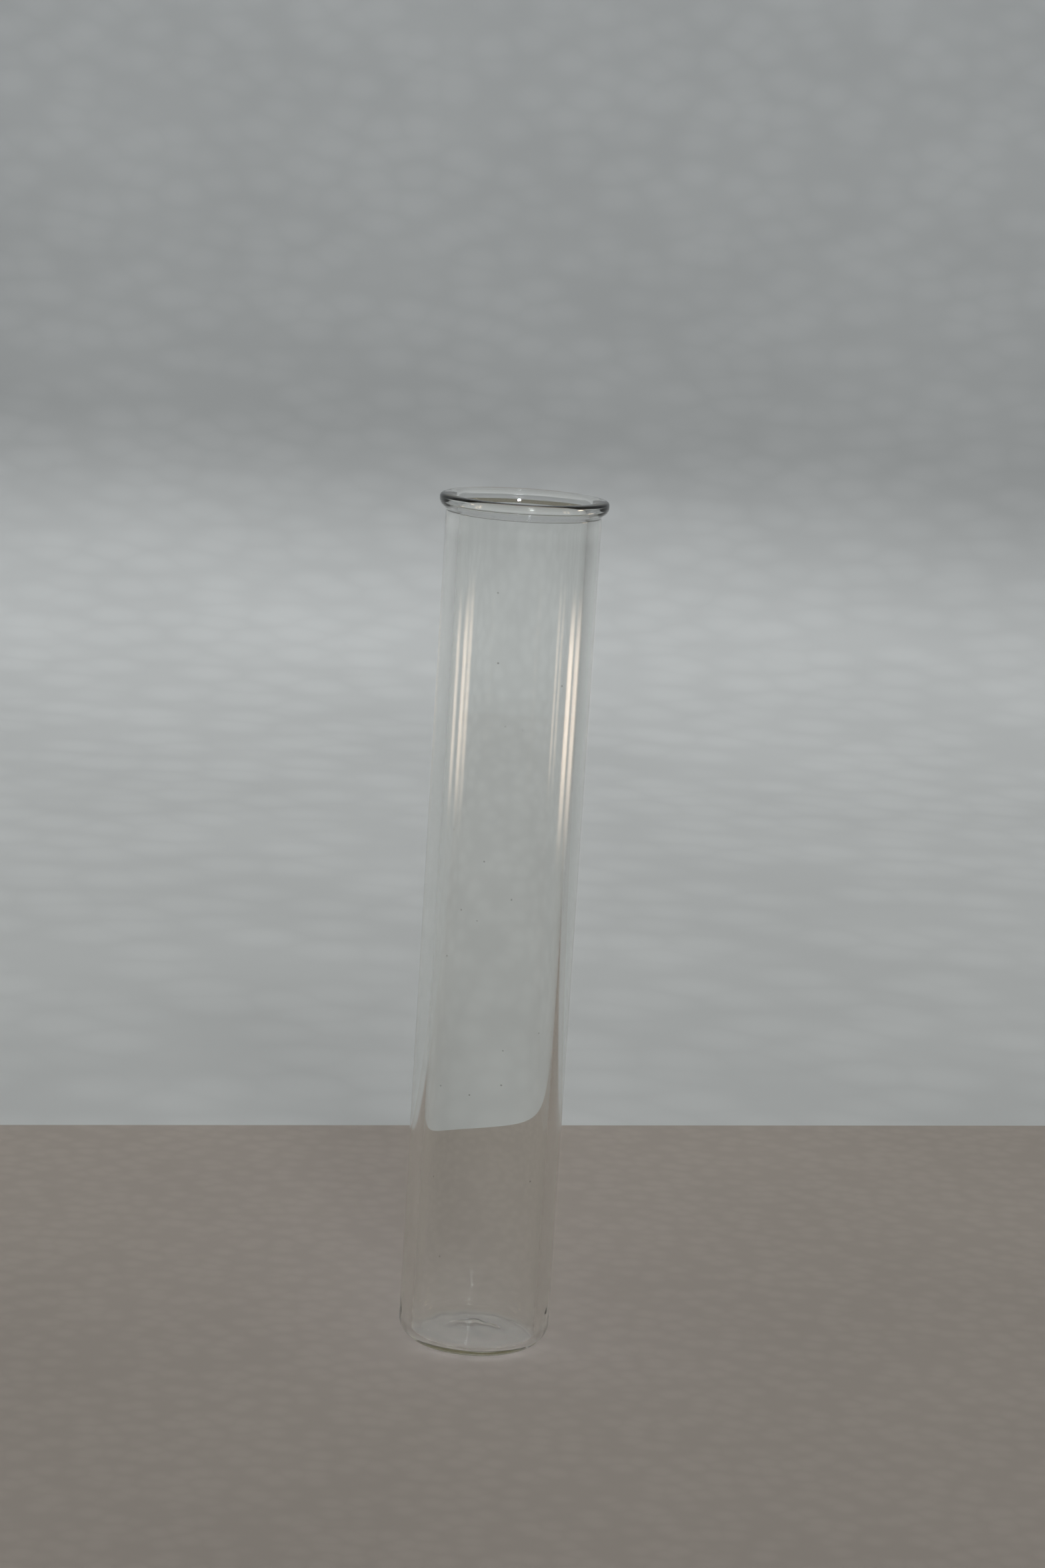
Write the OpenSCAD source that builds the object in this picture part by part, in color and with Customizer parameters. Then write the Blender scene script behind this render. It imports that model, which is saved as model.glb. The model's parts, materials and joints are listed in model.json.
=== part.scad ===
// Flat-bottomed test tube with a flared, fire-polished lip.
//
// The whole tube is one piece of glass, worked in the flame from one length of tubing,
// so it is one node: a section turned once round the axis.
// The origin is the middle of the base, on the plane that the tube stands on. +Z is up.
// Every curve of the section is a true arc, placed so that it runs smoothly into the next.

/* [Tube] */
// Height from the standing face to the top of the lip
tube_height = 150; // [60:1:250]
// Outside diameter of the straight wall
tube_d = 26.6; // [20:0.1:40]
// Thickness of the straight wall
wall_t = 2.4; // [1.8:0.1:2.8]

/* [Lip] */
// How far the lip stands out beyond the straight wall
lip_overhang = 1.2; // [1:0.05:1.5]
// Radius of the crown, the wide curve over the top of the lip
crown_r = 4; // [3:0.1:6]
// How far the highest line of the crown lies inside the outer face of the wall
crest_inset = 0.1; // [0:0.05:0.4]
// Radius of the lip's upper edge, on the outside
lip_edge_r = 0.7; // [0.5:0.05:0.9]
// Height of the straight face between the lip's upper and lower edges
lip_face_h = 0.4; // [0.2:0.05:0.6]
// Radius of the lip's lower edge, on the outside
lip_low_r = 1.3; // [1:0.05:1.4]
// Slope of the lip's underside, in degrees from the tube's axis
flare_angle = 50; // [45:1:56]
// Radius of the hollow curve between the straight wall and the lip's underside
neck_r = 0.6; // [0.4:0.05:1]
// Radius of the lip's inner edge
inner_edge_r = 1.1; // [0.7:0.05:1.3]
// Radius of the inside curve that opens the bore out into the lip
mouth_r = 8; // [7:0.1:9.5]
// How far below the top of the lip the bore starts to open out
mouth_depth = 2.8; // [2.4:0.1:3.4]

/* [Base] */
// Thickness of the glass floor
floor_t = 1.6; // [1.2:0.1:4]
// Radius of the outside corner between the wall and the base
base_corner_r = 3.4; // [1.5:0.1:4]
// Radius of the inside corner between the wall and the floor
floor_corner_r = 1.2; // [1:0.1:5]
// Width of the flat ring that the tube stands on
foot_w = 3.8; // [2:0.1:4]
// Depth of the shallow hollow inside that ring
foot_hollow = 0.15; // [0.1:0.05:0.6]

/* [Hidden] */
$fn = 128;

tube_r = tube_d / 2;
bore_r = tube_r - wall_t;
lip_r = tube_r + lip_overhang;
// How far the cutting shapes run on past the glass
spare = 1;
// How deep each curve runs into the next where they touch, so that no sliver is left between them
lap = 0.001;

// Where two circles cross, on the side that is upward for circles a and b set side by side
function circles_meet(a, a_r, b, b_r) =
    let (
        gap = b - a,
        far = norm(gap),
        along = (far ^ 2 + a_r ^ 2 - b_r ^ 2) / (2 * far),
        off = sqrt(a_r ^ 2 - along ^ 2)
    )
    a + (along * gap + off * [gap.y, -gap.x]) / far;

// The point at a distance from one point towards another
function towards(start, end, distance) = start + (end - start) * distance / norm(end - start);

// The lip's points are [radius, height], with the height counted from the top of the lip.
// Middle of the crown, and of the upper edge that it runs into
crown_mid = [tube_r - crest_inset, -crown_r];
edge_reach = crown_r - lip_edge_r + lap;
edge_mid_r = lip_r - lip_edge_r;
edge_mid = [edge_mid_r, sqrt(edge_reach ^ 2 - (edge_mid_r - crown_mid.x) ^ 2) - crown_r];

// Middle of the lower edge
low_mid = [lip_r - lip_low_r, edge_mid.y - lip_face_h];

// The underside of the lip slopes along flare_dir, and facing is square to it, away from the glass.
flare_dir = [sin(flare_angle), cos(flare_angle)];
facing = [cos(flare_angle), -sin(flare_angle)];

// Middle of the neck curve: it touches the straight wall and the slope of the underside.
neck_mid_r = tube_r + neck_r;
neck_drop = (lip_low_r + neck_r - (neck_mid_r - low_mid.x) * facing.x) / flare_dir.x;
neck_mid = [neck_mid_r, low_mid.y - neck_drop];
// Where the slope meets the neck curve and the lower edge
slope_low = neck_mid - (neck_r - lap) * facing;
slope_high = low_mid + (lip_low_r - lap) * facing;

// Middle of the mouth curve: it touches the bore.
mouth_mid = [bore_r + mouth_r, -mouth_depth];
// Middle of the inner edge: it touches the mouth curve and the crown from inside.
inner_mid = circles_meet(
    mouth_mid, mouth_r - inner_edge_r + lap,
    crown_mid, crown_r - inner_edge_r + lap
);
// Where the mouth curve meets the inner edge
mouth_end = towards(mouth_mid, inner_mid, mouth_r);
// Points above the two ends of the crown, in line with the middles of the edges there
crown_out = towards(crown_mid, edge_mid, crown_r + spare);
crown_in = towards(crown_mid, inner_mid, crown_r + spare);

// The hollow under the base is a shallow dish: this is the radius of its curve.
hollow_r = tube_r - base_corner_r - foot_w;
dish_r = (hollow_r ^ 2 + foot_hollow ^ 2) / (2 * foot_hollow);

// A rectangle in the section, from one corner to the opposite one
module block(low, high) translate(low) square(high - low);

// A disc in the section
module disc(middle, radius) translate(middle) circle(radius);

// A straight-sided shape closed by a flat bottom with a rounded corner
module cup_outline(radius, bottom, corner_r, top) {
    block([0, bottom + corner_r], [radius, top]);
    block([0, bottom], [radius - corner_r, bottom + 2 * corner_r]);
    intersection() {
        disc([radius - corner_r, bottom + corner_r], corner_r);
        block([0, bottom], [radius, bottom + 2 * corner_r]);
    }
}

// The lip with nothing taken out of the mouth: crown, edges, sloping underside and neck curve
module lip_outline() {
    disc(edge_mid, lip_edge_r);
    disc(inner_mid, inner_edge_r);
    intersection() {
        disc(crown_mid, crown_r);
        polygon([edge_mid, crown_out, crown_in, inner_mid]);
    }
    intersection() {
        disc(low_mid, lip_low_r);
        block([0, neck_mid.y], [lip_r + spare, edge_mid.y]);
    }
    difference() {
        polygon([
            [0, neck_mid.y], neck_mid, slope_low, slope_high,
            low_mid, [lip_r, low_mid.y], [lip_r, edge_mid.y],
            edge_mid, inner_mid, mouth_end, [0, mouth_end.y]
        ]);
        disc(neck_mid, neck_r);
    }
}

// The air in the mouth: it widens along the mouth curve, and then round the lip's inner edge.
module mouth_outline() {
    difference() {
        polygon([
            [0, mouth_mid.y], [inner_mid.x, mouth_mid.y], inner_mid, crown_in, [0, crown_in.y]
        ]);
        intersection() {
            disc(mouth_mid, mouth_r);
            block([0, mouth_mid.y - spare], [mouth_mid.x, mouth_end.y]);
        }
        disc(inner_mid, inner_edge_r);
    }
}

// The shallow dish in the underside of the base
module foot_hollow_outline() {
    intersection() {
        disc([0, foot_hollow - dish_r], dish_r);
        block([0, -spare], [tube_r, foot_hollow]);
    }
}

// Half of the tube, cut along its axis
module glass_section() {
    difference() {
        union() {
            cup_outline(tube_r, 0, base_corner_r, tube_height + low_mid.y);
            translate([0, tube_height]) lip_outline();
        }
        cup_outline(bore_r, floor_t, floor_corner_r, tube_height + mouth_end.y);
        translate([0, tube_height]) mouth_outline();
        foot_hollow_outline();
    }
}

module glass_tube() {
    color([0.86, 0.92, 0.89, 0.35]) rotate_extrude() glass_section();
}

glass_tube();
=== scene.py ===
"""Looks of the glass test tube: its lathed glass body, the glass material, a plain stage and soft light."""

import json
import math

import bmesh
import bpy
from mathutils import Matrix, Vector, noise


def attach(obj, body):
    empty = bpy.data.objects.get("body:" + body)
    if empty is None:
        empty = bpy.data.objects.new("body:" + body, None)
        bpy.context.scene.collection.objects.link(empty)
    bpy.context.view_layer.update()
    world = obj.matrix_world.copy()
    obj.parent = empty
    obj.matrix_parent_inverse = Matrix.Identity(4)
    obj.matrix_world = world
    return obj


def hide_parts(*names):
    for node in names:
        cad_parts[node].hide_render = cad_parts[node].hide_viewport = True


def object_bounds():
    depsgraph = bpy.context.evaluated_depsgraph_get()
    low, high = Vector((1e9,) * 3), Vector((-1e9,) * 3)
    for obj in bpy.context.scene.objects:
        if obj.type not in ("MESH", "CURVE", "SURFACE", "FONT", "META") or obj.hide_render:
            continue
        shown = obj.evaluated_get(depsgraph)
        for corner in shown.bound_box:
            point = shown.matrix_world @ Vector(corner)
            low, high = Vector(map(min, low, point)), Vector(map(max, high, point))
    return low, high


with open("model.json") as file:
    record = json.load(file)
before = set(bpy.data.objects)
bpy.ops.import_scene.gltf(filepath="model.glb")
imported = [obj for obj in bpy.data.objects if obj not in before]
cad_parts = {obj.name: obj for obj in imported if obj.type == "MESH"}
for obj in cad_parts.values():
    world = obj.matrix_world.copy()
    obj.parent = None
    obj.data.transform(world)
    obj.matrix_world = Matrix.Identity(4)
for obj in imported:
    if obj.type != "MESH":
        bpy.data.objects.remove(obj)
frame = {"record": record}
cad_low, cad_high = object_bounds()

# ---------------------------------------------------------------- sizes, in metres

MM = 0.001
mounts = {m["name"]: m for m in frame["record"]["mounts"]}
TUBE_TOP = cad_high.z
LIP_R = cad_high.x
TUBE_R = mounts["outside"]["dims"]["r_mm"] * MM
BORE_R = mounts["bore"]["dims"]["r_mm"] * MM

# The lip and base, at the same values as in part.scad
BASE_CORNER_R = 3.4 * MM
FLOOR_T = 1.6 * MM
LIP_EDGE_R = 0.7 * MM
LIP_LOW_R = 1.3 * MM
LIP_FACE = 0.4 * MM
CREST_R = 13.2 * MM
CROWN_R = 4.0 * MM
INNER_EDGE_R = 1.1 * MM
FLARE_ANGLE = 50
NECK_R = 0.6 * MM
MOUTH_R = 8.0 * MM
MOUTH_LOW = TUBE_TOP - 2.8 * MM
FLOOR_CORNER_R = 1.2 * MM
FOOT_W = 3.8 * MM
FOOT_HOLLOW = 0.15 * MM

# How far the worked parts of the glass are off true, and how large their unevenness is
WORKED_FLOOR_SIZE = 5 * MM
WORKED_FLOOR_DEPTH = 0.03 * MM
WORKED_CORNER_SIZE = 1.8 * MM
WORKED_CORNER_DEPTH = 0.07 * MM
WORKED_WALL_HIGH = 9 * MM
WORKED_LIP_DEEP = 3.5 * MM
WORKED_LIP_SIZE = 7 * MM
WORKED_LIP_DEPTH = 0.06 * MM
WORKED_BASE_SIZE = 5 * MM
WORKED_BASE_DEPTH = 0.06 * MM

# The camera stands in front of the tube, a little above its mouth, and leans to one side.
CAMERA_BACK = 0.5879
CAMERA_HEIGHT = 0.2121
CAMERA_PITCH = math.radians(10.77)
CAMERA_YAW = math.radians(0.26)
CAMERA_ROLL = math.radians(3.63)
CAMERA_LENS = 79.6
CAMERA_SENSOR = 36.0


# ---------------------------------------------------------------- camera

def make_camera():
    """A camera at the photograph's viewing angle. Its roll makes the upright tube lean to the right."""
    forward = Vector((
        math.sin(CAMERA_YAW) * math.cos(CAMERA_PITCH),
        math.cos(CAMERA_YAW) * math.cos(CAMERA_PITCH),
        -math.sin(CAMERA_PITCH),
    ))
    level = Vector((math.cos(CAMERA_YAW), -math.sin(CAMERA_YAW), 0))
    upright = level.cross(forward)
    right = level * math.cos(CAMERA_ROLL) + upright * math.sin(CAMERA_ROLL)
    up = upright * math.cos(CAMERA_ROLL) - level * math.sin(CAMERA_ROLL)
    data = bpy.data.cameras.new("camera")
    data.lens = CAMERA_LENS
    data.sensor_width = CAMERA_SENSOR
    data.clip_start = 0.01
    data.clip_end = 20
    camera = bpy.data.objects.new("camera", data)
    turn = Matrix((right, up, -forward)).transposed().to_4x4()
    camera.matrix_world = Matrix.Translation((0, -CAMERA_BACK, CAMERA_HEIGHT)) @ turn
    bpy.context.scene.collection.objects.link(camera)
    bpy.context.scene.camera = camera


# ---------------------------------------------------------------- the tube's section

def arc(middle, radius, start, end, steps):
    """Points along an arc, as (radius from the axis, height). Angle 0 points away from the axis, in degrees."""
    points = []
    for i in range(steps + 1):
        a = math.radians(start + (end - start) * i / steps)
        points.append((middle[0] + radius * math.cos(a), middle[1] + radius * math.sin(a)))
    return points


def straight(start, end, steps):
    """The points between two ends, without the ends."""
    return [
        tuple(start[k] + (end[k] - start[k]) * i / steps for k in (0, 1))
        for i in range(1, steps)
    ]


def heading(start, end):
    """The angle in degrees of the line from one point to another."""
    return math.degrees(math.atan2(end[1] - start[1], end[0] - start[0]))


def circles_meet(a, a_r, b, b_r):
    """Where two circles cross, on the side nearer to the axis."""
    dx, dz = b[0] - a[0], b[1] - a[1]
    far = math.hypot(dx, dz)
    along = (far ** 2 + a_r ** 2 - b_r ** 2) / (2 * far)
    off = math.sqrt(a_r ** 2 - along ** 2)
    points = [
        (a[0] + (along * dx - s * off * dz) / far, a[1] + (along * dz + s * off * dx) / far)
        for s in (1, -1)
    ]
    return min(points)


def section():
    """The closed section of the glass, from the axis under the base, up the outside, and down the inside."""
    # The crown over the rim's top, and the outer edge that it runs into
    crown_mid = (CREST_R, TUBE_TOP - CROWN_R)
    lip_x = LIP_R - LIP_EDGE_R
    lip_mid = (lip_x, crown_mid[1] + math.sqrt((CROWN_R - LIP_EDGE_R) ** 2 - (lip_x - CREST_R) ** 2))
    # The flare under the lip, and the neck where it meets the wall
    a = math.radians(FLARE_ANGLE)
    low_mid = (LIP_R - LIP_LOW_R, lip_mid[1] - LIP_FACE)
    neck_x = TUBE_R + NECK_R
    rise = (low_mid[0] + LIP_LOW_R * math.cos(a) - neck_x + NECK_R * math.cos(a)) / math.tan(a)
    neck_mid = (neck_x, low_mid[1] - LIP_LOW_R * math.sin(a) - rise - NECK_R * math.sin(a))
    # The widening mouth, and the inner edge between it and the crown
    mouth_mid = (BORE_R + MOUTH_R, MOUTH_LOW)
    inner_mid = circles_meet(mouth_mid, MOUTH_R - INNER_EDGE_R, crown_mid, CROWN_R - INNER_EDGE_R)
    hollow_r = TUBE_R - BASE_CORNER_R - FOOT_W
    dish_r = (hollow_r ** 2 + FOOT_HOLLOW ** 2) / (2 * FOOT_HOLLOW)
    dish_edge = math.degrees(math.asin(hollow_r / dish_r))
    corner_mid = (TUBE_R - BASE_CORNER_R, BASE_CORNER_R)
    floor_mid = (BORE_R - FLOOR_CORNER_R, FLOOR_T + FLOOR_CORNER_R)

    dish = arc((0, FOOT_HOLLOW - dish_r), dish_r, 90, 90 - dish_edge, 12)
    corner = arc(corner_mid, BASE_CORNER_R, -90, 0, 16)
    neck = arc(neck_mid, NECK_R, 180, 180 - FLARE_ANGLE, 10)
    lip = arc(low_mid, LIP_LOW_R, -FLARE_ANGLE, 0, 12)
    lip += arc(lip_mid, LIP_EDGE_R, 0, heading(crown_mid, lip_mid), 12)
    crown = arc(crown_mid, CROWN_R, heading(crown_mid, lip_mid), heading(crown_mid, inner_mid), 12)
    inner = arc(inner_mid, INNER_EDGE_R, heading(crown_mid, inner_mid), heading(mouth_mid, inner_mid), 8)
    mouth = arc(mouth_mid, MOUTH_R, heading(mouth_mid, inner_mid), 180, 14)
    floor_corner = arc(floor_mid, FLOOR_CORNER_R, 0, -90, 16)

    outside = dish + straight(dish[-1], corner[0], 5) + corner
    outside += straight(corner[-1], neck[0], 72) + neck + straight(neck[-1], lip[0], 3)
    worked_top = (BORE_R, WORKED_WALL_HIGH)
    inside = lip + crown[1:] + inner[1:] + mouth[1:] + straight(mouth[-1], worked_top, 64)
    inside += [worked_top] + straight(worked_top, floor_corner[0], 24)
    inside += floor_corner
    inside += straight(floor_corner[-1], (0, FLOOR_T), 20) + [(0, FLOOR_T)]
    return outside + inside


# ---------------------------------------------------------------- the glass body

SEGMENTS = 256


def uneven(point, size):
    """Smooth noise from -1 to 1 at a point, with features of about the given size."""
    return noise.noise(point / size)


def off_true(point):
    """How far flame-worked glass stands off its true shape at a point, along its outward normal.

    The inside of the floor may rise and fall. The outside only falls back, so that it stays in the CAD's box.
    """
    r = math.hypot(point.x, point.y)
    inside = r < BORE_R + MM / 10 and point.z > FLOOR_T / 2
    if inside and point.z < WORKED_WALL_HIGH:
        slow = WORKED_FLOOR_DEPTH * uneven(point, WORKED_FLOOR_SIZE)
        # The corner and the foot of the wall are the roughest, and the wall is true again higher up.
        rough = min(1, max(0, (point.z - FLOOR_T) / FLOOR_CORNER_R))
        fade = min(1, (WORKED_WALL_HIGH - point.z) / (WORKED_WALL_HIGH / 2))
        return fade * (slow + rough * WORKED_CORNER_DEPTH * uneven(point, WORKED_CORNER_SIZE))
    if point.z > TUBE_TOP - WORKED_LIP_DEEP:
        return -WORKED_LIP_DEPTH * (1 + uneven(point, WORKED_LIP_SIZE)) / 2
    if not inside and 0 < point.z < BASE_CORNER_R:
        fade = min(point.z, BASE_CORNER_R - point.z) / (BASE_CORNER_R / 2)
        return -fade * WORKED_BASE_DEPTH * (1 + uneven(point, WORKED_BASE_SIZE)) / 2
    return 0.0


def turned_rings(mesh, points, segments):
    """One ring of vertices about the upright axis for each point of a section."""
    return [
        [
            mesh.verts.new((
                r * math.cos(2 * math.pi * s / segments),
                r * math.sin(2 * math.pi * s / segments),
                z,
            ))
            for s in range(segments)
        ]
        for r, z in points
    ]


def add_object(name, mesh, smooth=True):
    """Turn an edited mesh into an object of the scene."""
    for face in mesh.faces:
        face.smooth = smooth
    data = bpy.data.meshes.new(name)
    mesh.to_mesh(data)
    mesh.free()
    piece = bpy.data.objects.new(name, data)
    bpy.context.scene.collection.objects.link(piece)
    return piece


def lathe(name, points, segments):
    """A closed mesh, turned from a section that starts and ends on the axis, and worked a little off true."""
    mesh = bmesh.new()
    rings = turned_rings(mesh, points[1:-1], segments)
    low = mesh.verts.new((0, 0, points[0][1]))
    high = mesh.verts.new((0, 0, points[-1][1]))
    for s in range(segments):
        t = (s + 1) % segments
        mesh.faces.new((low, rings[0][t], rings[0][s]))
        mesh.faces.new((high, rings[-1][s], rings[-1][t]))
        for under, over in zip(rings, rings[1:]):
            mesh.faces.new((under[s], under[t], over[t], over[s]))
    bmesh.ops.recalc_face_normals(mesh, faces=mesh.faces)
    mesh.normal_update()
    moves = [(v, v.normal * off_true(v.co)) for v in mesh.verts]
    for v, move in moves:
        v.co += move
    return add_object(name, mesh)


# ---------------------------------------------------------------- materials

GLASS_IOR = 1.5
GLASS_COLOUR = (0.985, 0.99, 0.985)
ABSORB_COLOUR = (0.55, 0.52, 0.18)
ABSORB_DENSITY = 7.0
# Drawing lines: the scale is in features per metre across the lines, the depth in metres
LINE_SCALE = 260
LINE_SQUEEZE = 0.03
LINE_DEPTH = 0.000004
UNEVEN_SCALE = 90
UNEVEN_DEPTH = 0.00001
SMUDGE_SCALE = 45
WISP_SCALE = 420
SMUDGE_ROUGHNESS = 0.06
# Specks: their largest size as a share of one cell, and the share of the cells that hold one
SPECK_SCALE = 380
SPECK_SIZE = 0.09
SPECK_SHARE = 0.14
SPECK_COLOUR = (0.45, 0.44, 0.42)


def new_material(name):
    """An empty node material with its output node."""
    material = bpy.data.materials.new(name)
    material.use_nodes = True
    tree = material.node_tree
    tree.nodes.clear()
    return material, tree, tree.nodes.new("ShaderNodeOutputMaterial")


def math_node(tree, operation, a, b):
    """A maths node. a and b are sockets or plain numbers."""
    node = tree.nodes.new("ShaderNodeMath")
    node.operation = operation
    for socket, value in zip(node.inputs, (a, b)):
        if isinstance(value, (int, float)):
            socket.default_value = value
        else:
            tree.links.new(value, socket)
    return node.outputs["Value"]


def noise_node(tree, place, squeeze, scale, detail):
    """Noise over the object's own coordinates. A small squeeze draws it out along that axis."""
    stretch = tree.nodes.new("ShaderNodeMapping")
    stretch.inputs["Scale"].default_value = squeeze
    noise = tree.nodes.new("ShaderNodeTexNoise")
    noise.inputs["Scale"].default_value = scale
    noise.inputs["Detail"].default_value = detail
    tree.links.new(place, stretch.inputs["Vector"])
    tree.links.new(stretch.outputs["Vector"], noise.inputs["Vector"])
    return noise.outputs["Fac"]


def range_node(tree, value, low, high, out_low, out_high):
    """A smooth step of a value from one range to another."""
    node = tree.nodes.new("ShaderNodeMapRange")
    node.interpolation_type = "SMOOTHSTEP"
    for name, number in (("From Min", low), ("From Max", high), ("To Min", out_low), ("To Max", out_high)):
        node.inputs[name].default_value = number
    tree.links.new(value, node.inputs["Value"])
    return node.outputs["Result"]


def bump_node(tree, height, depth, after=None):
    """A bump of a real depth in metres, laid over another bump if there is one."""
    node = tree.nodes.new("ShaderNodeBump")
    node.inputs["Strength"].default_value = 1.0
    node.inputs["Distance"].default_value = depth
    tree.links.new(height, node.inputs["Height"])
    if after:
        tree.links.new(after, node.inputs["Normal"])
    return node.outputs["Normal"]


def glass_material():
    """Clear fire-polished glass, faintly olive where thick, with drawing lines, smudges and specks."""
    material, tree, output = new_material("clear_glass")
    glass = tree.nodes.new("ShaderNodeBsdfPrincipled")
    glass.inputs["Transmission Weight"].default_value = 1.0
    glass.inputs["IOR"].default_value = GLASS_IOR
    place = tree.nodes.new("ShaderNodeTexCoord").outputs["Object"]

    # Long fine lines left by the drawing of the tubing, and a slow unevenness of the polished faces
    lines = noise_node(tree, place, (1, 1, LINE_SQUEEZE), LINE_SCALE, 2)
    uneven = noise_node(tree, place, (1, 1, 1), UNEVEN_SCALE, 1)
    normal = bump_node(tree, lines, LINE_DEPTH)
    normal = bump_node(tree, uneven, UNEVEN_DEPTH, normal)
    tree.links.new(normal, glass.inputs["Normal"])

    # Smudges from handling, in a few soft patches broken up by finer wisps
    patches = range_node(tree, noise_node(tree, place, (1, 1, 0.5), SMUDGE_SCALE, 3), 0.5, 0.75, 0.0, 1.0)
    wisps = noise_node(tree, place, (1, 1, 0.3), WISP_SCALE, 4)
    smudge = math_node(tree, "MULTIPLY", patches, wisps)
    tree.links.new(math_node(tree, "MULTIPLY", smudge, SMUDGE_ROUGHNESS), glass.inputs["Roughness"])

    # Sparse specks of dust
    cells = tree.nodes.new("ShaderNodeTexVoronoi")
    cells.inputs["Scale"].default_value = SPECK_SCALE
    tree.links.new(place, cells.inputs["Vector"])
    pick = tree.nodes.new("ShaderNodeSeparateColor")
    tree.links.new(cells.outputs["Color"], pick.inputs["Color"])
    reach = math_node(tree, "MULTIPLY", pick.outputs["Red"], SPECK_SIZE)
    clear = range_node(tree, math_node(tree, "DIVIDE", cells.outputs["Distance"], reach), 0.6, 1.0, 0.0, 1.0)
    kept = math_node(tree, "GREATER_THAN", pick.outputs["Green"], SPECK_SHARE)
    clear = math_node(tree, "MAXIMUM", clear, kept)
    tint = tree.nodes.new("ShaderNodeMix")
    tint.data_type = "RGBA"
    tint.inputs[6].default_value = (*SPECK_COLOUR, 1)
    tint.inputs[7].default_value = (*GLASS_COLOUR, 1)
    tree.links.new(clear, tint.inputs[0])
    tree.links.new(tint.outputs[2], glass.inputs["Base Color"])

    absorb = tree.nodes.new("ShaderNodeVolumeAbsorption")
    absorb.inputs["Color"].default_value = (*ABSORB_COLOUR, 1)
    absorb.inputs["Density"].default_value = ABSORB_DENSITY
    tree.links.new(glass.outputs["BSDF"], output.inputs["Surface"])
    tree.links.new(absorb.outputs["Volume"], output.inputs["Volume"])
    return material


# Stage finish: mottles are shares of the colour, and the painted shade that darkens the colour with height is
# full at a height in metres
BEAD_MOTTLE = 0.06
BEAD_DEPTH = 0.0003
CLOUD_SCALE = 9
CLOUD_MOTTLE = 0.06
PAINTED_SHADE_FULL_Z = 0.08


def stage_material(name, colour, bead, painted_shade_share):
    """Matt pale foam board: faint beads of about the given size, a slow mottle, and painted shade that darkens
    the colour higher up.
    """
    material, tree, output = new_material(name)
    shader = tree.nodes.new("ShaderNodeBsdfPrincipled")
    shader.inputs["Specular IOR Level"].default_value = 0.2
    place = tree.nodes.new("ShaderNodeTexCoord").outputs["Object"]
    cells = tree.nodes.new("ShaderNodeTexVoronoi")
    cells.inputs["Scale"].default_value = 1 / bead
    tree.links.new(place, cells.inputs["Vector"])
    beads = range_node(tree, cells.outputs["Distance"], 0.15, 0.8, 1.0, 1 - BEAD_MOTTLE)
    clouds = noise_node(tree, place, (1, 1, 1), CLOUD_SCALE, 3)
    clouds = range_node(tree, clouds, 0.3, 0.7, 1 - CLOUD_MOTTLE, 1.0)
    split = tree.nodes.new("ShaderNodeSeparateXYZ")
    tree.links.new(place, split.inputs[0])
    # Painted shade: the colour darkens from the floor upwards to the given share, to dim the upper backdrop
    # that its curve lights more
    height = range_node(tree, split.outputs["Z"], 0.0, PAINTED_SHADE_FULL_Z, 1.0, painted_shade_share)
    shade = math_node(tree, "MULTIPLY", math_node(tree, "MULTIPLY", beads, clouds), height)
    tint = tree.nodes.new("ShaderNodeMix")
    tint.data_type = "RGBA"
    tint.inputs[6].default_value = (0, 0, 0, 1)
    tint.inputs[7].default_value = (*colour, 1)
    tree.links.new(shade, tint.inputs[0])
    tree.links.new(tint.outputs[2], shader.inputs["Base Color"])
    roughness = range_node(tree, cells.outputs["Distance"], 0.1, 0.8, 0.75, 0.9)
    tree.links.new(roughness, shader.inputs["Roughness"])
    tree.links.new(bump_node(tree, beads, BEAD_DEPTH), shader.inputs["Normal"])
    tree.links.new(shader.outputs["BSDF"], output.inputs["Surface"])
    return material


# ---------------------------------------------------------------- stage and light

# The board that the tube stands on ends behind the tube; a pale studio bowl goes all the way round.
BOARD_BACK = 0.132
BOARD_FRONT = 0.9
BOARD_HALF = 0.9
BOARD_T = 0.004
BOARD_TURN = math.radians(12.2)
BOARD_COLOUR = (0.585, 0.52, 0.472)
BOARD_BEAD = 0.004
BOWL_FLAT_R = 0.6
BOWL_COVE_R = 1.0
BOWL_WALL = 0.1
BOWL_COLOUR = (0.845, 0.862, 0.87)
BOWL_BEAD = 0.02
# Painted shade on the bowl: its colour high up, as a share of its colour at the floor, darkened because its
# curve catches more light than its flat
BOWL_PAINTED_SHADE_SHARE = 0.5
FLOOR_GAP = 0.00003

WORLD_COLOUR = (0.95, 0.98, 1.0)
WORLD_STRENGTH = 0.30
CEILING_STRENGTH = 0.17
CEILING_COLOUR = (1.0, 0.97, 0.80)
# How far up, as the height on a unit sphere, the light starts and ends its fade
CEILING_FADE = (0.5, 0.8)
GLOW_FROM = (0.17, -0.86, 0.48)
GLOW_STRENGTH = 30.0
# The cosine of the glow's half width
GLOW_EDGE = 0.985
STAGE_LIGHT_COLOUR = (0.955, 0.985, 1.03)
TOP_PLACE = (0, 0.2, 1.6)
TOP_AIM = (0, 0.2, 0)
TOP_SIZE = (1.6, 1.6)
TOP_POWER = 5.4
FRONT_PLACE = (0.3, -1.5, 0.9)
FRONT_AIM = (0, 0.6, 0.1)
FRONT_SIZE = (1.2, 0.8)
FRONT_POWER = 3.0
NEAR_PLACE = (0.098, -0.58, 0.225)
NEAR_AIM = (0, 0, 0.08)
NEAR_COLOUR = (0.9, 0.95, 1.0)
NEAR_SIZE = 0.05
NEAR_POWER = 10.0
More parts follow.
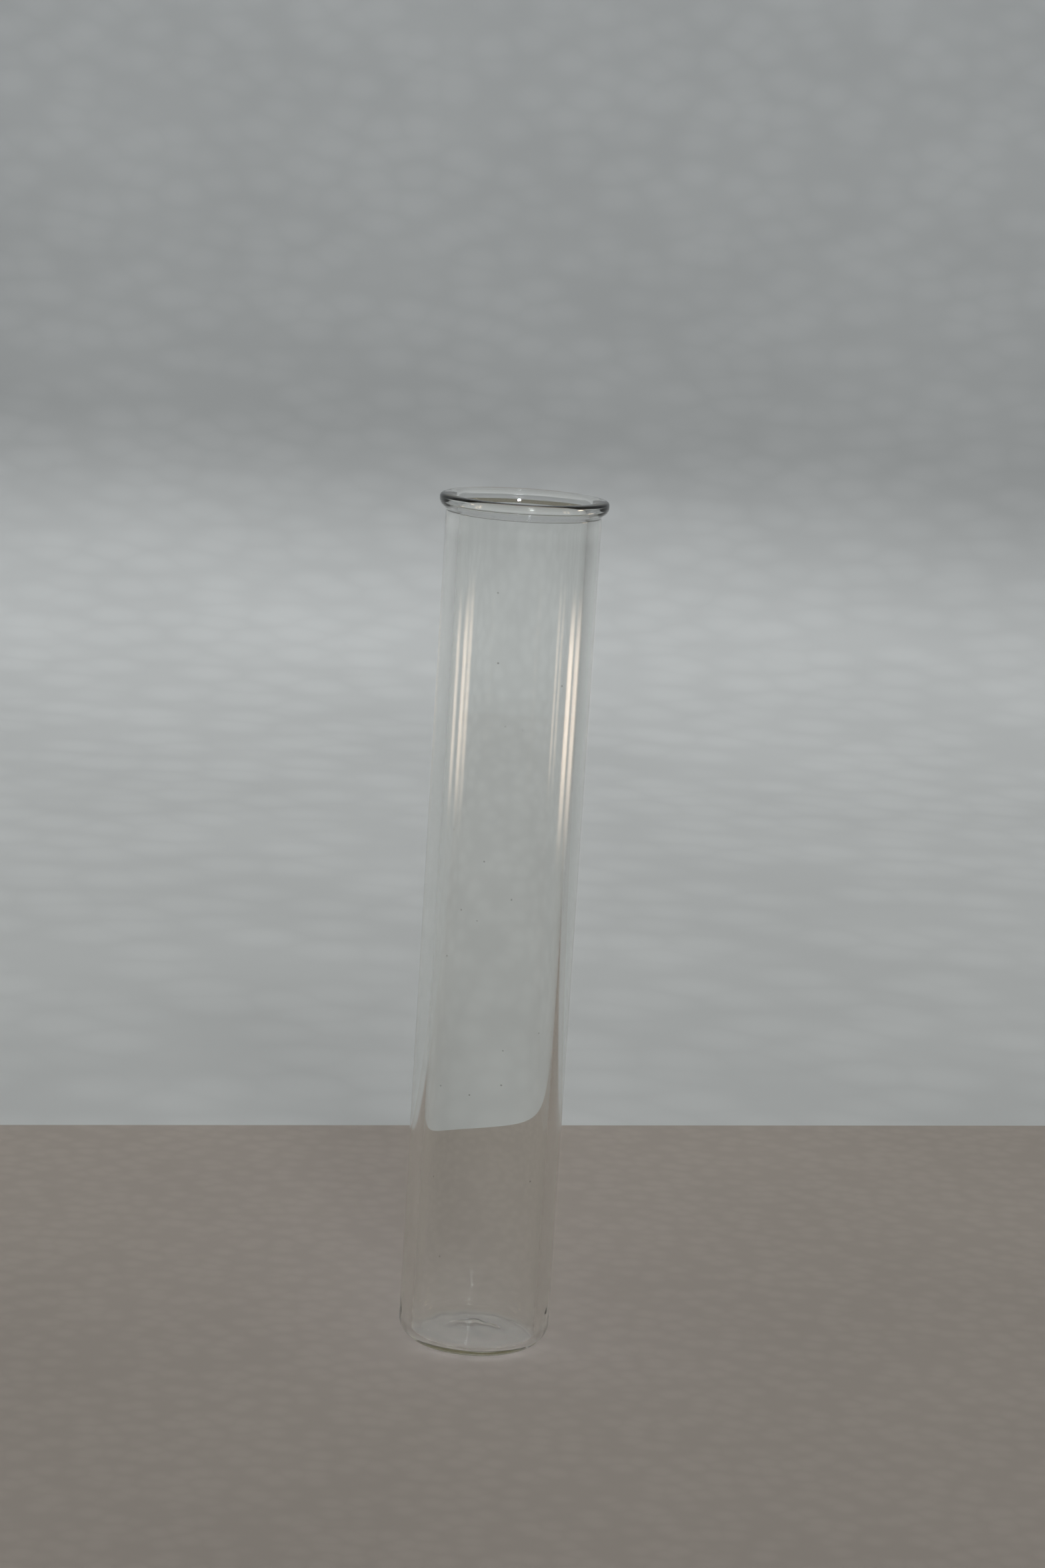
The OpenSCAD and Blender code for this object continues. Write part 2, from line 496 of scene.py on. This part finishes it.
# The warm side lamps: how wide the soft edges are, as a share of the lamp, and the fades at bottom and top
LAMP_SIDE_FADE = 0.42
LAMP_LEFT = (-0.30, 0.010, 0.065)
LAMP_LEFT_SIZE = (0.055, 0.066)
LAMP_LEFT_FADES = (0.38, 0.30)
LAMP_LEFT_LIGHT = 5.0
LAMP_RIGHT = (0.29, 0.065, 0.061)
LAMP_RIGHT_SIZE = (0.085, 0.078)
LAMP_RIGHT_FADES = (0.52, 0.30)
LAMP_RIGHT_LIGHT = 7.0
LAMP_COLOUR = (1.0, 0.80, 0.62)
MOST_BOUNCES = 40
GLASS_BOUNCES = 32


def make_stage():
    """The floor board under the tube and the round backdrop about it."""
    mesh = bmesh.new()
    bmesh.ops.create_cube(mesh, size=1)
    for v in mesh.verts:
        v.co.x *= 2 * BOARD_HALF
        v.co.y = BOARD_BACK if v.co.y > 0 else -BOARD_FRONT
        v.co.z = -FLOOR_GAP if v.co.z > 0 else -FLOOR_GAP - BOARD_T
    bmesh.ops.rotate(
        mesh, verts=mesh.verts, cent=(0, BOARD_BACK, 0), matrix=Matrix.Rotation(BOARD_TURN, 3, "Z")
    )
    board = add_object("floor", mesh, smooth=False)
    board.data.materials.append(stage_material("floor_board", BOARD_COLOUR, BOARD_BEAD, 1.0))

    floor_z = -FLOOR_GAP - BOARD_T
    cove_mid = (BOWL_FLAT_R, floor_z + BOWL_COVE_R)
    points = [(0, floor_z)] + arc(cove_mid, BOWL_COVE_R, -90, 0, 24)
    points.append((BOWL_FLAT_R + BOWL_COVE_R, floor_z + BOWL_COVE_R + BOWL_WALL))
    bowl = open_lathe("backdrop", points, 128)
    bowl.data.materials.append(stage_material("backdrop", BOWL_COLOUR, BOWL_BEAD, BOWL_PAINTED_SHADE_SHARE))
    return board, bowl


def open_lathe(name, points, segments):
    """An open bowl turned from a section that starts on the axis."""
    mesh = bmesh.new()
    rings = turned_rings(mesh, points[1:], segments)
    low = mesh.verts.new((0, 0, points[0][1]))
    for s in range(segments):
        t = (s + 1) % segments
        mesh.faces.new((low, rings[0][s], rings[0][t]))
        for under, over in zip(rings, rings[1:]):
            mesh.faces.new((under[s], over[s], over[t], under[t]))
    return add_object(name, mesh)


def area_light(name, place, aim, size, power, colour, shape="RECTANGLE"):
    """An area light that the camera doesn't see directly. size is its width and height."""
    data = bpy.data.lights.new(name, "AREA")
    data.shape = shape
    data.size, data.size_y = size
    data.energy = power
    data.color = colour
    light = bpy.data.objects.new(name, data)
    light.location = place
    towards = Vector(aim) - Vector(place)
    light.rotation_euler = towards.to_track_quat("-Z", "Y").to_euler()
    light.visible_camera = False
    bpy.context.scene.collection.objects.link(light)
    return light


def soft_lamp(name, place, size, fades, radiance, colour):
    """An upright lamp facing the tube that fades to nothing at its edges.

    fades are the shares of its height over which it fades at the bottom and at the top.
    """
    power = radiance * math.pi * size[0] * size[1]
    light = area_light(name, place, (0, 0, place[2]), size, power, colour)
    light.visible_diffuse = False
    light.data.use_nodes = True
    tree = light.data.node_tree
    tree.nodes.clear()
    output = tree.nodes.new("ShaderNodeOutputLight")
    emission = tree.nodes.new("ShaderNodeEmission")
    place_on = tree.nodes.new("ShaderNodeNewGeometry")
    split = tree.nodes.new("ShaderNodeSeparateXYZ")
    tree.links.new(place_on.outputs["Parametric"], split.inputs[0])
    low, high = fades
    left = range_node(tree, split.outputs["X"], 0.0, LAMP_SIDE_FADE, 0.0, 1.0)
    right = range_node(tree, split.outputs["X"], 1 - LAMP_SIDE_FADE, 1.0, 1.0, 0.0)
    bottom = range_node(tree, split.outputs["Y"], 0.0, low, 0.0, 1.0)
    top = range_node(tree, split.outputs["Y"], 1 - high, 1.0, 1.0, 0.0)
    across = math_node(tree, "MULTIPLY", left, right)
    upward = math_node(tree, "MULTIPLY", bottom, top)
    tree.links.new(math_node(tree, "MULTIPLY", across, upward), emission.inputs["Strength"])
    tree.links.new(emission.outputs[0], output.inputs[0])


def stage_light(name, place, aim, size, power, stage_set):
    """A large soft light on the stage alone: the glass neither shows it nor shades it."""
    light = area_light(name, place, aim, size, power, STAGE_LIGHT_COLOUR)
    light.visible_glossy = False
    light.visible_transmission = False
    light.light_linking.receiver_collection = stage_set
    light.light_linking.blocker_collection = stage_set


def make_lights(stage_pieces, glass_piece):
    """Large soft lights on the stage, a small near light for the glints, and a warm lamp on each side."""
    stage_set = bpy.data.collections.new("stage_set")
    for piece in stage_pieces:
        stage_set.objects.link(piece)
    stage_light("top", TOP_PLACE, TOP_AIM, TOP_SIZE, TOP_POWER, stage_set)
    stage_light("front", FRONT_PLACE, FRONT_AIM, FRONT_SIZE, FRONT_POWER, stage_set)
    glass_set = bpy.data.collections.new("glass_set")
    glass_set.objects.link(glass_piece)
    near = area_light("near", NEAR_PLACE, NEAR_AIM, (NEAR_SIZE, NEAR_SIZE), NEAR_POWER, NEAR_COLOUR, "DISK")
    near.light_linking.receiver_collection = glass_set
    soft_lamp("lamp_left", LAMP_LEFT, LAMP_LEFT_SIZE, LAMP_LEFT_FADES, LAMP_LEFT_LIGHT, LAMP_COLOUR)
    soft_lamp("lamp_right", LAMP_RIGHT, LAMP_RIGHT_SIZE, LAMP_RIGHT_FADES, LAMP_RIGHT_LIGHT, LAMP_COLOUR)
    bpy.context.scene.view_settings.view_transform = "Standard"


def make_world():
    """Even soft light from all round, which fades to a dim warm ceiling overhead."""
    world = bpy.data.worlds.new("world")
    world.use_nodes = True
    tree = world.node_tree
    background = tree.nodes["Background"]
    place = tree.nodes.new("ShaderNodeTexCoord")
    split = tree.nodes.new("ShaderNodeSeparateXYZ")
    fade = tree.nodes.new("ShaderNodeMapRange")
    fade.interpolation_type = "SMOOTHSTEP"
    fade.inputs["From Min"].default_value = CEILING_FADE[0]
    fade.inputs["From Max"].default_value = CEILING_FADE[1]
    fade.inputs["To Min"].default_value = WORLD_STRENGTH
    fade.inputs["To Max"].default_value = CEILING_STRENGTH
    warm = tree.nodes.new("ShaderNodeMapRange")
    warm.inputs["From Min"].default_value = CEILING_FADE[0]
    warm.inputs["From Max"].default_value = CEILING_FADE[1]
    tint = tree.nodes.new("ShaderNodeMix")
    tint.data_type = "RGBA"
    tint.inputs[6].default_value = (*WORLD_COLOUR, 1)
    tint.inputs[7].default_value = (*CEILING_COLOUR, 1)
    # A small glow from the front right, which gives the shade its direction
    facing = tree.nodes.new("ShaderNodeVectorMath")
    facing.operation = "DOT_PRODUCT"
    facing.inputs[1].default_value = Vector(GLOW_FROM).normalized()
    glow = tree.nodes.new("ShaderNodeMapRange")
    glow.interpolation_type = "SMOOTHSTEP"
    glow.inputs["From Min"].default_value = GLOW_EDGE
    glow.inputs["From Max"].default_value = 1.0
    glow.inputs["To Min"].default_value = 0.0
    glow.inputs["To Max"].default_value = GLOW_STRENGTH
    both = tree.nodes.new("ShaderNodeMath")
    both.operation = "ADD"
    tree.links.new(place.outputs["Generated"], split.inputs[0])
    tree.links.new(place.outputs["Generated"], facing.inputs[0])
    tree.links.new(facing.outputs["Value"], glow.inputs["Value"])
    tree.links.new(split.outputs["Z"], fade.inputs["Value"])
    tree.links.new(split.outputs["Z"], warm.inputs["Value"])
    tree.links.new(warm.outputs["Result"], tint.inputs[0])
    tree.links.new(tint.outputs[2], background.inputs["Color"])
    tree.links.new(fade.outputs["Result"], both.inputs[0])
    tree.links.new(glow.outputs["Result"], both.inputs[1])
    tree.links.new(both.outputs[0], background.inputs["Strength"])
    bpy.context.scene.world = world


def allow_glass_bounces():
    """Light runs a long way round inside a glass rim and floor before it comes out."""
    cycles = bpy.context.scene.cycles
    cycles.max_bounces = MOST_BOUNCES
    cycles.glossy_bounces = GLASS_BOUNCES
    cycles.transmission_bounces = GLASS_BOUNCES


# ---------------------------------------------------------------- scene

make_camera()

glass = lathe("glass_tube_body", section(), SEGMENTS)
glass.data.materials.append(glass_material())
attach(glass, "root")
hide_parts("glass_tube")

stage_pieces = make_stage()
make_lights(stage_pieces, glass)
make_world()
allow_glass_bounces()
